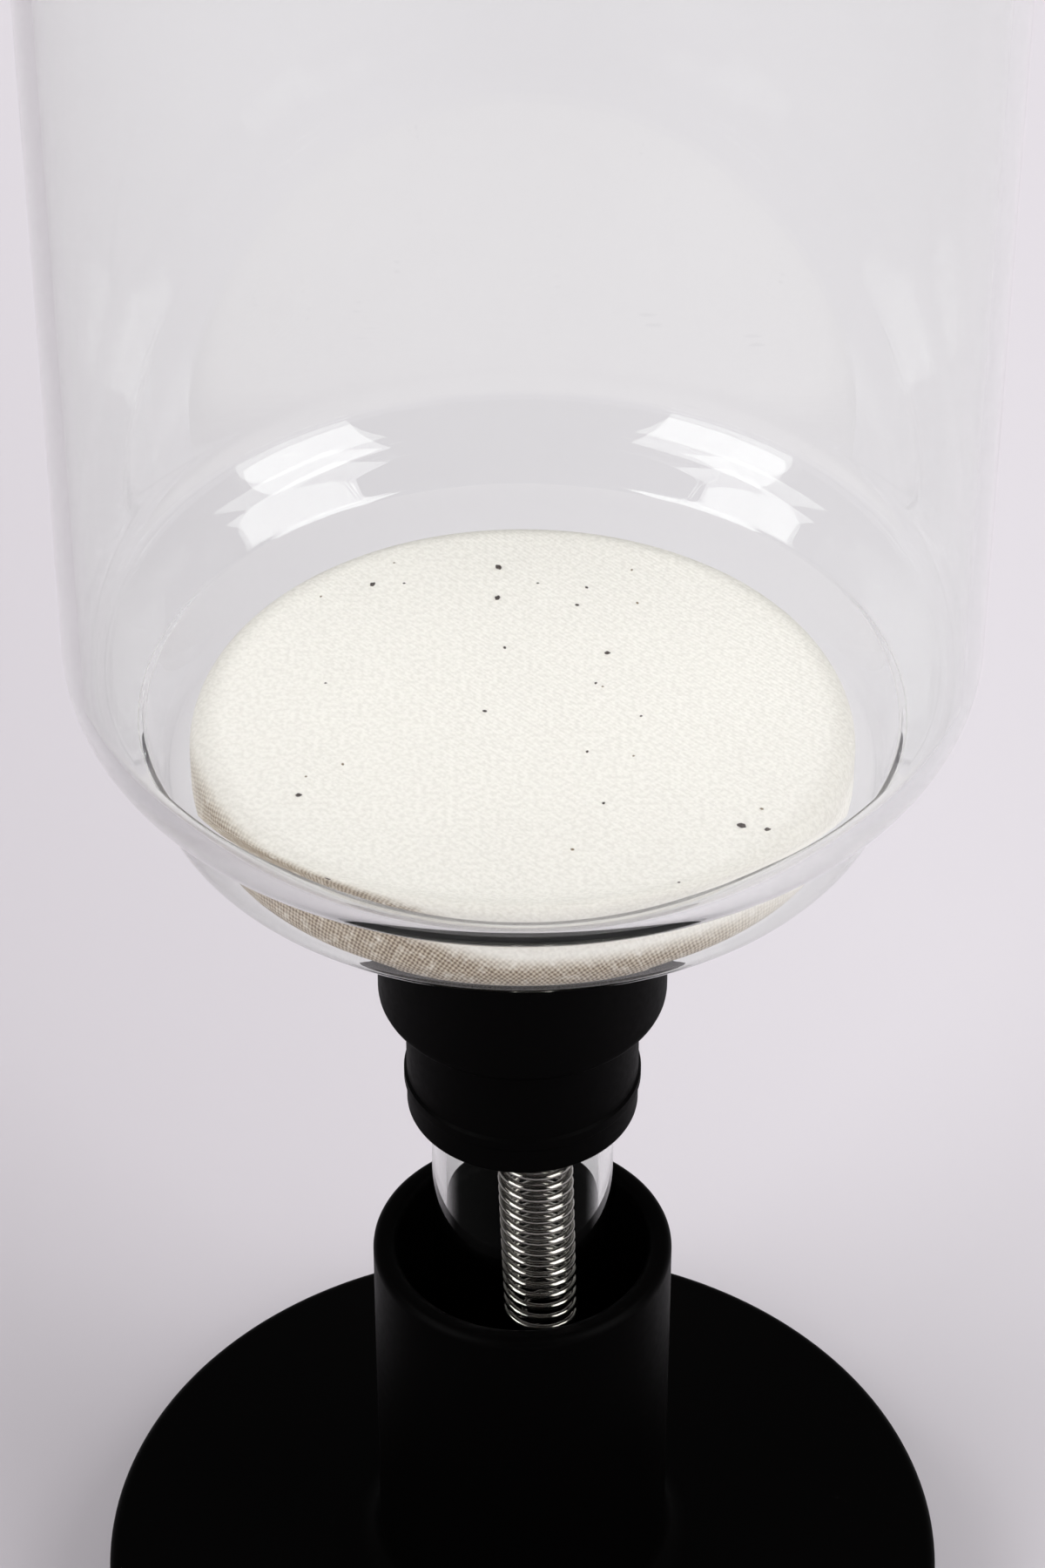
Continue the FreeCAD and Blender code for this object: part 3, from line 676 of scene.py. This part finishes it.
def new_geometry_tree(name, inputs):
    tree = bpy.data.node_groups.new(name, "GeometryNodeTree")
    tree.interface.new_socket("Geometry", in_out="INPUT", socket_type="NodeSocketGeometry")
    for label, kind in inputs:
        tree.interface.new_socket(label, in_out="INPUT", socket_type=kind)
    tree.interface.new_socket("Geometry", in_out="OUTPUT", socket_type="NodeSocketGeometry")
    return tree, tree.nodes.new("NodeGroupInput"), tree.nodes.new("NodeGroupOutput")


def realised(tree, source, result, instances):
    """Turn instances into mesh, give it the material and pass it on."""
    solid = node(tree, "GeometryNodeRealizeInstances")
    dressed = node(tree, "GeometryNodeSetMaterial")
    tree.links.new(instances.outputs["Instances"], solid.inputs["Geometry"])
    tree.links.new(solid.outputs["Geometry"], dressed.inputs["Geometry"])
    tree.links.new(source.outputs["Material"], dressed.inputs["Material"])
    tree.links.new(dressed.outputs["Geometry"], result.inputs["Geometry"])


def repeat_tree():
    """Copies of a piece, each moved and turned one step further."""
    tree, source, result = new_geometry_tree(
        "repeat_in_steps",
        [
            ("Count", "NodeSocketInt"),
            ("Step", "NodeSocketVector"),
            ("Turn", "NodeSocketFloat"),
            ("Material", "NodeSocketMaterial"),
        ],
    )
    line = node(tree, "GeometryNodeMeshLine", mode="OFFSET")
    tree.links.new(source.outputs["Count"], line.inputs["Count"])
    tree.links.new(source.outputs["Step"], line.inputs["Offset"])
    number = node(tree, "GeometryNodeInputIndex")
    angle = maths(tree, "MULTIPLY", number.outputs[0], source.outputs["Turn"])
    about = node(tree, "ShaderNodeCombineXYZ")
    tree.links.new(angle, about.inputs["Z"])
    copies = node(tree, "GeometryNodeInstanceOnPoints")
    tree.links.new(line.outputs["Mesh"], copies.inputs["Points"])
    tree.links.new(source.outputs["Geometry"], copies.inputs["Instance"])
    tree.links.new(about.outputs[0], copies.inputs["Rotation"])
    realised(tree, source, result, copies)
    return tree


def crumbs_tree():
    """Small uneven crumbs on the points of a mesh."""
    tree, source, result = new_geometry_tree(
        "crumbs_on_points",
        [
            ("Smallest", "NodeSocketFloat"),
            ("Largest", "NodeSocketFloat"),
            ("Seed", "NodeSocketInt"),
            ("Material", "NodeSocketMaterial"),
        ],
    )
    crumb = node(tree, "GeometryNodeMeshIcoSphere")
    crumb.inputs["Radius"].default_value = 1
    crumb.inputs["Subdivisions"].default_value = 3
    lumps = node(tree, "ShaderNodeTexNoise")
    lumps.inputs["Scale"].default_value = 1.6
    spot = node(tree, "GeometryNodeInputPosition")
    tree.links.new(spot.outputs[0], lumps.inputs["Vector"])
    push = node(tree, "ShaderNodeVectorMath", operation="SCALE")
    tree.links.new(spot.outputs[0], push.inputs[0])
    tree.links.new(maths(tree, "MULTIPLY_ADD", lumps.outputs["Fac"], 1.4, -0.9), push.inputs["Scale"])
    uneven = node(tree, "GeometryNodeSetPosition")
    tree.links.new(crumb.outputs["Mesh"], uneven.inputs["Geometry"])
    tree.links.new(push.outputs[0], uneven.inputs["Offset"])
    width = node(tree, "FunctionNodeRandomValue", data_type="FLOAT")
    tree.links.new(source.outputs["Smallest"], width.inputs["Min"])
    tree.links.new(source.outputs["Largest"], width.inputs["Max"])
    tree.links.new(source.outputs["Seed"], width.inputs["Seed"])
    stretch = node(tree, "ShaderNodeCombineXYZ")
    tree.links.new(maths(tree, "MULTIPLY", width.outputs["Value"], 1.3), stretch.inputs["X"])
    tree.links.new(width.outputs["Value"], stretch.inputs["Y"])
    tree.links.new(maths(tree, "MULTIPLY", width.outputs["Value"], 0.55), stretch.inputs["Z"])
    heading = node(tree, "FunctionNodeRandomValue", data_type="FLOAT")
    heading.inputs["Max"].default_value = math.pi
    tree.links.new(source.outputs["Seed"], heading.inputs["Seed"])
    about = node(tree, "ShaderNodeCombineXYZ")
    tree.links.new(heading.outputs["Value"], about.inputs["Z"])
    copies = node(tree, "GeometryNodeInstanceOnPoints")
    tree.links.new(source.outputs["Geometry"], copies.inputs["Points"])
    tree.links.new(uneven.outputs["Geometry"], copies.inputs["Instance"])
    tree.links.new(about.outputs[0], copies.inputs["Rotation"])
    tree.links.new(stretch.outputs[0], copies.inputs["Scale"])
    realised(tree, source, result, copies)
    return tree


def grown(name, seed_object, tree, **values):
    """The plain mesh that a geometry node tree makes from an object, with values on its named inputs."""
    modifier = seed_object.modifiers.new(tree.name, "NODES")
    modifier.node_group = tree
    for item in tree.interface.items_tree:
        if item.in_out == "INPUT" and item.name in values:
            modifier[item.identifier] = values[item.name]
    bpy.context.view_layer.update()
    evaluated = seed_object.evaluated_get(bpy.context.evaluated_depsgraph_get())
    mesh = bpy.data.meshes.new_from_object(evaluated)
    mesh.name = name
    mesh.polygons.foreach_set("use_smooth", [True] * len(mesh.polygons))
    mesh.set_sharp_from_angle(angle=math.radians(40))
    bpy.data.objects.remove(seed_object)
    obj = bpy.data.objects.new(name, mesh)
    scene.collection.objects.link(obj)
    return obj


REPEAT = repeat_tree()
CRUMBS = crumbs_tree()

# Lid with its socket, skirt and locating ring, and ribs that repeat round the axis
rib_corners = []
for across in (SOCKET_RADIUS - 0.5, RING_BORE + 0.5):
    for aside in (-RIB_WIDTH / 2, RIB_WIDTH / 2):
        for upward in (RING_FOOT, LID_UNDERSIDE + 0.3):
            rib_corners.append((across, aside, upward))
rib_sides = [(0, 1, 3, 2), (4, 6, 7, 5), (0, 4, 5, 1), (2, 3, 7, 6), (0, 2, 6, 4), (1, 5, 7, 3)]
ribs = grown(
    "ribs",
    mesh_object("rib", rib_corners, rib_sides),
    REPEAT,
    Count=RIB_COUNT,
    Turn=2 * math.pi / RIB_COUNT,
    Material=moulding,
)
lid = merged("lid_with_socket", [lathe("lid", braced(lid_outline), 192, closed=False), ribs])
finished(lid, moulding, "stand", ["lid_stand"])

# Spring, bead chain and hook on one leaning line inside the tube
leaning = Matrix.Rotation(CHAIN_HEADING, 4, "Z") @ Matrix.Rotation(-CHAIN_TILT, 4, "Y")
chain_start = FILTER_FORWARD + Vector((0, 0, EYE_HEIGHT))
CHAIN = Matrix.Translation(chain_start) @ leaning
CHAIN_METRES = Matrix.Translation(chain_start * MM) @ leaning


def on_chain(distance):
    """Point at a distance down the chain line."""
    return CHAIN @ Vector((0, 0, -distance))


def spring_line():
    """Wire's centre line from the upper loop's free end to the lower loop's free end."""
    steps = 28
    half = []
    for tick in range(steps - 2):
        turn = (tick + 3) / steps * 2 * math.pi - math.pi
        half.append(Vector((0, LOOP_RADIUS * math.sin(turn), LOOP_RADIUS * math.cos(turn) - LOOP_DROP)))
    for tick in range(1, steps // 2):
        share = tick / (steps // 2)
        turn = share * math.pi - math.pi / 2
        reach = COIL_RADIUS * math.sin(share * math.pi / 2)
        sink = LOOP_DROP + LOOP_RADIUS + COIL_PITCH * share
        half.append(Vector((reach * math.cos(turn), reach * math.sin(turn), -sink)))
    for tick in range(COIL_TURNS * steps // 2 + 1):
        turn = math.pi / 2 + 2 * math.pi * tick / steps
        sink = COIL_TOP + COIL_PITCH * tick / steps
        half.append(Vector((COIL_RADIUS * math.cos(turn), COIL_RADIUS * math.sin(turn), -sink)))
    middle = Vector((0, 0, half[-1].z))
    turned_over = Matrix.Rotation(math.pi, 3, half[-1] - middle)
    lower = [middle + turned_over @ (point - middle) for point in half[:-1]]
    return [CHAIN @ point for point in half + lower[::-1]]


spring = tube("spring", spring_line(), COIL_WIRE, 10)
spring.data.materials.append(steel)
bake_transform(spring)
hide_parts("tension_spring")

coupling_outline = soften(
    [
        (0, -COUPLING_RING, 0),
        (0.9, -COUPLING_RING, 0.3),
        (1.7, -COUPLING_RING - COUPLING_LENGTH, 0.25),
        (0, -COUPLING_RING - COUPLING_LENGTH, 0),
    ],
    steps=4,
)
for name, station, upside, replaced in (
    ("coupling_top", TOP_EYE, 1, "chain_coupling_top"),
    ("coupling_bottom", BOTTOM_EYE, -1, "chain_coupling_bottom"),
):
    bell = lathe("bell", coupling_outline, 24, closed=False)
    eye = tube(
        "eye",
        ring_path(Vector(), COUPLING_RING, Vector((1, 0, 0)), Vector((0, 0, 1))),
        RING_WIRE,
        closed=True,
    )
    piece = merged(name, [bell, eye])
    place = CHAIN_METRES @ Matrix.Translation((0, 0, -station * MM))
    if upside < 0:
        place = place @ Matrix.Rotation(math.pi, 4, "X")
    piece.data.transform(place)
    finished(piece, steel, "chamber", [replaced])

bead_outline = []
for step in range(17):
    turn = math.radians(-71 + 142 * step / 16)
    bead_outline.append(Vector((BEAD_RADIUS * math.cos(turn), BEAD_RADIUS * math.sin(turn))))
bead_outline = [Vector((0, -BEAD_HALF))] + bead_outline + [Vector((0, BEAD_HALF))]
link_outline = [
    Vector((0, -BEAD_PITCH + BEAD_HALF)),
    Vector((LINK_RADIUS, -BEAD_PITCH + BEAD_HALF)),
    Vector((LINK_RADIUS, -BEAD_HALF)),
    Vector((0, -BEAD_HALF)),
]
down_one = (0, 0, -BEAD_PITCH * MM)
for name, seed_outline, count, replaced in (
    ("beads", bead_outline, BEAD_COUNT, "chain_beads"),
    ("links", link_outline, BEAD_COUNT - 1, "chain_links"),
):
    seed_object = lathe(name, seed_outline, 24, closed=False)
    piece = grown(f"row_of_{name}", seed_object, REPEAT, Count=count, Step=down_one, Material=steel)
    piece.data.transform(CHAIN_METRES @ Matrix.Translation((0, 0, -FIRST_BEAD * MM)))
    finished(piece, steel, "chamber", [replaced])


def bent_line(points, bend, steps=8):
    """Line through points with a round bend at each inner one."""
    line = [points[0]]
    for before, corner, after in zip(points, points[1:], points[2:]):
        arriving = (before - corner).normalized()
        leaving = (after - corner).normalized()
        half = arriving.angle(leaving) / 2
        middle = corner + (arriving + leaving).normalized() * (bend / math.sin(half))
        first = corner + arriving * (bend / math.tan(half)) - middle
        last = corner + leaving * (bend / math.tan(half)) - middle
        for step in range(steps + 1):
            line.append(middle + first.slerp(last, step / steps))
    line.append(points[-1])
    return line


outward = Vector((math.cos(HOOK_AZIMUTH), math.sin(HOOK_AZIMUTH), 0))
ring_foot = on_chain(HOOK_RING + COUPLING_RING)
inside = outward * (TUBE_BORE - 0.7)
outside = outward * (TUBE_RADIUS + 0.7)
under = Vector((0, 0, TUBE_END - 0.7))
halfway = Vector((0, 0, (ring_foot.z + under.z) / 2))
hook_points = [ring_foot, inside + halfway, inside + under, outside + under, outside + under + Vector((0, 0, 6))]
hook_wire = tube("hook_wire", bent_line(hook_points, 1.2), HOOK_WIRE)
side_on = CHAIN.to_3x3() @ Vector((0, 1, 0))
up_line = CHAIN.to_3x3() @ Vector((0, 0, 1))
ring_round = ring_path(on_chain(HOOK_RING), COUPLING_RING, side_on, up_line)
hook_ring = tube("hook_ring", ring_round, HOOK_RING_WIRE, closed=True)
hook = merged("hook", [hook_wire, hook_ring])
finished(hook, steel, "chamber", ["tube_hook"])

# Coffee grounds left on the cloth
GROUNDS = (
    (-2.2, 20.4), (-2.3, 15.6), (7.6, 7.2), (-19.1, -13.3), (18.5, -17.5), (20.6, -18.0), (-13.8, 17.7),
    (-16.4, -25.2),
)
FINES = (
    (5.9, 17.2), (5.6, -7.2), (-10.9, 17.9), (1.4, 17.9), (5.0, 14.5), (10.4, -2.1), (6.5, 2.7),
    (-1.6, 8.0), (-17.5, 2.7), (-3.3, -1.4), (6.9, -14.4), (13.0, -25.6),
)
DUST = (
    (10.5, 14.8), (10.1, 20.0), (7.1, 2.2), (9.6, -7.8), (20.3, -15.2), (-11.9, 21.1), (-18.5, 15.8),
    (-15.5, -9.0), (-18.6, -10.7), (4.2, -20.7),
)


def on_cloth(across, forward):
    """Point on the cloth's top or its rounded edge, given seen from above."""
    past_flat = max(0, math.hypot(across, forward - FILTER_FORWARD.y) - FILTER_RADIUS + EDGE_ROUND)
    drop = EDGE_ROUND - math.sqrt(EDGE_ROUND**2 - past_flat**2)
    return (across, forward, FILTER_TOP - 0.03 - drop)


for name, places, smallest, largest, material in (
    ("grounds", GROUNDS, 0.22, 0.34, coffee),
    ("fines", FINES, 0.11, 0.18, coffee),
    ("dust", DUST, 0.1, 0.15, coffee_dust),
):
    points = [on_cloth(across, forward) for across, forward in places]
    crumbs = grown(
        f"coffee_{name}",
        mesh_object(name, points, []),
        CRUMBS,
        Smallest=smallest * MM,
        Largest=largest * MM,
        Seed=7,
        Material=material,
    )
    finished(crumbs, material, "filter")

# Camera at the photograph's angle
camera = bpy.data.objects.new("camera", bpy.data.cameras.new("camera"))
scene.collection.objects.link(camera)
scene.camera = camera
camera.data.sensor_width = 36
camera.data.lens = 103.3
camera.data.clip_start = 0.01
aim = Vector((0, 0, 108.66)) * MM
camera.location = Vector((0, -316.8, 356.65)) * MM
camera.rotation_euler = (aim - camera.location).to_track_quat("-Z", "Y").to_euler()


# Studio: pale floor, a low and a high soft box on each side, and an even white room
BOX_DISTANCE = 30
BOX_RADIANCE = 4.2


def soft_box(name, azimuth, elevation, wide, tall):
    """Soft box that fills an angle, given in degrees, as seen from the chamber."""
    lamp = bpy.data.lights.new(name, "AREA")
    lamp.shape = "RECTANGLE"
    lamp.size = 2 * BOX_DISTANCE * math.tan(math.radians(wide / 2))
    lamp.size_y = 2 * BOX_DISTANCE * math.tan(math.radians(tall / 2))
    lamp.energy = BOX_RADIANCE * math.pi * lamp.size * lamp.size_y
    obj = bpy.data.objects.new(name, lamp)
    scene.collection.objects.link(obj)
    turn, rise = math.radians(azimuth), math.radians(elevation)
    away = Vector((math.sin(turn) * math.cos(rise), math.cos(turn) * math.cos(rise), math.sin(rise)))
    middle = Vector((0, 0, 0.12))
    obj.location = middle + away * BOX_DISTANCE
    obj.rotation_euler = (middle - obj.location).to_track_quat("-Z", "Y").to_euler()
    return obj


soft_box("low_box_right", 120, 22, 33, 40)
soft_box("low_box_left", -126, 22, 35, 40)
soft_box("high_box_right", 103, 48, 34, 20)
soft_box("high_box_left", -101, 47, 28, 18)

def floor_paper():
    """Pale paper with painted shade, darker towards the viewer's left; a painted dark reflection, a near-black ring
    before the lid, shows only in what is mirrored or refracted from close by.
    """
    material = worn_material("pale_floor", (1, 1, 1), 30, 0.9, 0.1, 0.02, Specular_IOR_Level=0.1)
    tree = material.node_tree
    place = node(tree, "ShaderNodeTexCoord")
    apart = node(tree, "ShaderNodeSeparateXYZ")
    tree.links.new(place.outputs["Object"], apart.inputs[0])
    # Painted shade: the paper's colour darkens towards the viewer's left and the front.
    backward = maths(tree, "MULTIPLY", apart.outputs["Y"], 0.6)
    painted_shade_slant = maths(tree, "MULTIPLY_ADD", apart.outputs["X"], 1.4, backward)
    paper_with_painted_shade = node(tree, "ShaderNodeMix", data_type="RGBA")
    paper_with_painted_shade.inputs["A"].default_value = (0.565, 0.53, 0.565, 1)
    paper_with_painted_shade.inputs["B"].default_value = (0.73, 0.695, 0.735, 1)
    tree.links.new(ramp(tree, painted_shade_slant, -0.16, 0.16), paper_with_painted_shade.inputs["Factor"])
    # Painted dark reflection: a near-black ring on the floor round the front of the lid, seen only by mirrored or
    # refracted rays from close by.
    ray = node(tree, "ShaderNodeLightPath")
    away = node(tree, "ShaderNodeVectorMath", operation="LENGTH")
    tree.links.new(place.outputs["Object"], away.inputs[0])
    round_lid = maths(
        tree,
        "MULTIPLY",
        ramp(tree, away.outputs["Value"], 0.052, 0.06),
        maths(tree, "SUBTRACT", 1, ramp(tree, away.outputs["Value"], 0.115, 0.13)),
    )
    in_front = maths(tree, "MULTIPLY", round_lid, maths(tree, "SUBTRACT", 1, ramp(tree, apart.outputs["Y"], 0, 0.03)))
    from_near = maths(tree, "SUBTRACT", 1, ramp(tree, ray.outputs["Ray Length"], 0.104, 0.11))
    before = maths(tree, "MULTIPLY", in_front, from_near)
    through = maths(tree, "MAXIMUM", ray.outputs["Is Glossy Ray"], ray.outputs["Is Transmission Ray"])
    painted_dark_reflection = node(tree, "ShaderNodeMix", data_type="RGBA")
    tree.links.new(maths(tree, "MULTIPLY", before, through), painted_dark_reflection.inputs["Factor"])
    tree.links.new(paper_with_painted_shade.outputs["Result"], painted_dark_reflection.inputs["A"])
    painted_dark_reflection.inputs["B"].default_value = (0.02, 0.02, 0.02, 1)
    tree.links.new(painted_dark_reflection.outputs["Result"], tree.nodes["Principled BSDF"].inputs["Base Color"])
    return material


floor_mesh = bpy.data.meshes.new("floor")
FLOOR_HALF = 12
floor_corners = [(-FLOOR_HALF, -FLOOR_HALF, 0), (FLOOR_HALF, -FLOOR_HALF, 0), (FLOOR_HALF, FLOOR_HALF, 0), (-FLOOR_HALF, FLOOR_HALF, 0)]
floor_mesh.from_pydata(floor_corners, [], [(0, 1, 2, 3)])
floor = bpy.data.objects.new("floor", floor_mesh)
scene.collection.objects.link(floor)
floor_mesh.materials.append(floor_paper())

world = bpy.data.worlds.new("room")
scene.world = world
world.use_nodes = True
room = world.node_tree.nodes["Background"]
room.inputs["Strength"].default_value = 0.35
# Mirrored light comes from a room that is dim on the viewer's side, so dark parts stay dark.
sky = world.node_tree
heading = node(sky, "ShaderNodeTexCoord")
heading_parts = node(sky, "ShaderNodeSeparateXYZ")
sky.links.new(heading.outputs["Generated"], heading_parts.inputs[0])
mirrored = node(sky, "ShaderNodeMix", data_type="RGBA")
mirrored.inputs["A"].default_value = (0.02, 0.02, 0.02, 1)
mirrored.inputs["B"].default_value = (1, 0.99, 1, 1)
sky.links.new(ramp(sky, heading_parts.outputs["Y"], 0.1, 0.8), mirrored.inputs["Factor"])
ray = node(sky, "ShaderNodeLightPath")
tone = node(sky, "ShaderNodeMix", data_type="RGBA")
tone.inputs["A"].default_value = (1, 0.99, 1, 1)
unlit = maths(sky, "LESS_THAN", ray.outputs["Diffuse Depth"], 0.5)
in_mirror = maths(sky, "GREATER_THAN", ray.outputs["Glossy Depth"], 0.5)
sky.links.new(maths(sky, "MULTIPLY", in_mirror, unlit), tone.inputs["Factor"])
sky.links.new(mirrored.outputs["Result"], tone.inputs["B"])
# What the camera sees of the room, also through the glass, is as pale as the floor.
unmirrored = maths(sky, "MULTIPLY", unlit, maths(sky, "SUBTRACT", 1, in_mirror))
looked_at = maths(sky, "MAXIMUM", ray.outputs["Is Camera Ray"], ray.outputs["Is Transmission Ray"])
pale = node(sky, "ShaderNodeMix", data_type="RGBA")
sky.links.new(maths(sky, "MULTIPLY", looked_at, unmirrored), pale.inputs["Factor"])
sky.links.new(tone.outputs["Result"], pale.inputs["A"])
pale.inputs["B"].default_value = (2.15, 2.05, 2.17, 1)
sky.links.new(pale.outputs["Result"], room.inputs["Color"])

scene.view_settings.view_transform = "Standard"
scene.cycles.max_bounces = 32
scene.cycles.glossy_bounces = 32
scene.cycles.transmission_bounces = 32
scene.cycles.transparent_max_bounces = 32
